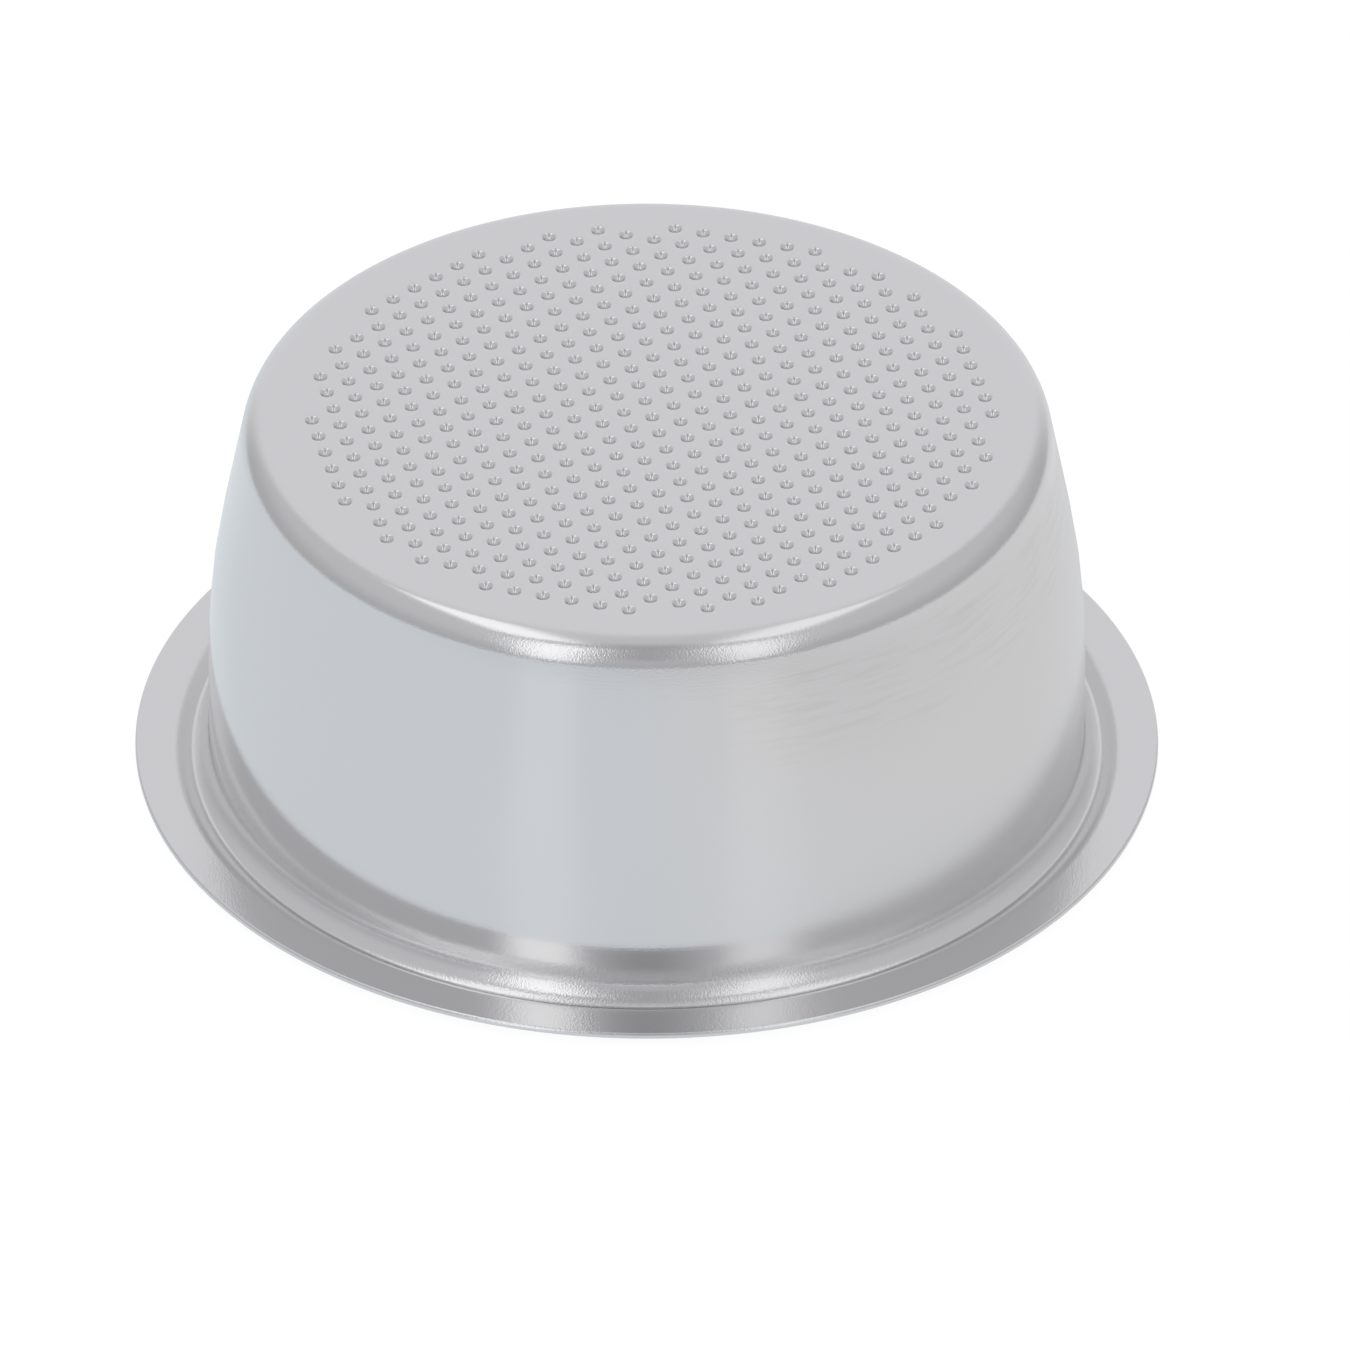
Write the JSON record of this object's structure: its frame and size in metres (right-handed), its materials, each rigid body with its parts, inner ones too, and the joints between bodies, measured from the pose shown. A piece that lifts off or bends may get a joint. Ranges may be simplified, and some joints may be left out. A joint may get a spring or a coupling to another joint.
{
  "type": "espresso filter basket",
  "caption": "Round filter cup drawn from thin stainless sheet, with a grooved flange round its mouth, a gently tapered wall and a base perforated with fine countersunk holes.",
  "frame": {"origin": "on the cup's axis, in the plane that the flange's lowest ring stands on", "axes": "+Z along the cup's axis, from the mouth to the perforated base; +X to the right and -Y towards the viewer in the picture"},
  "size_m": [0.0608, 0.0608, 0.0239],
  "materials": {
    "stainless_sheet": "fine brushed satin, as drawn"
  },
  "bodies": {
    "root": {"filter_basket": "stainless_sheet"}
  },
  "joints": []
}
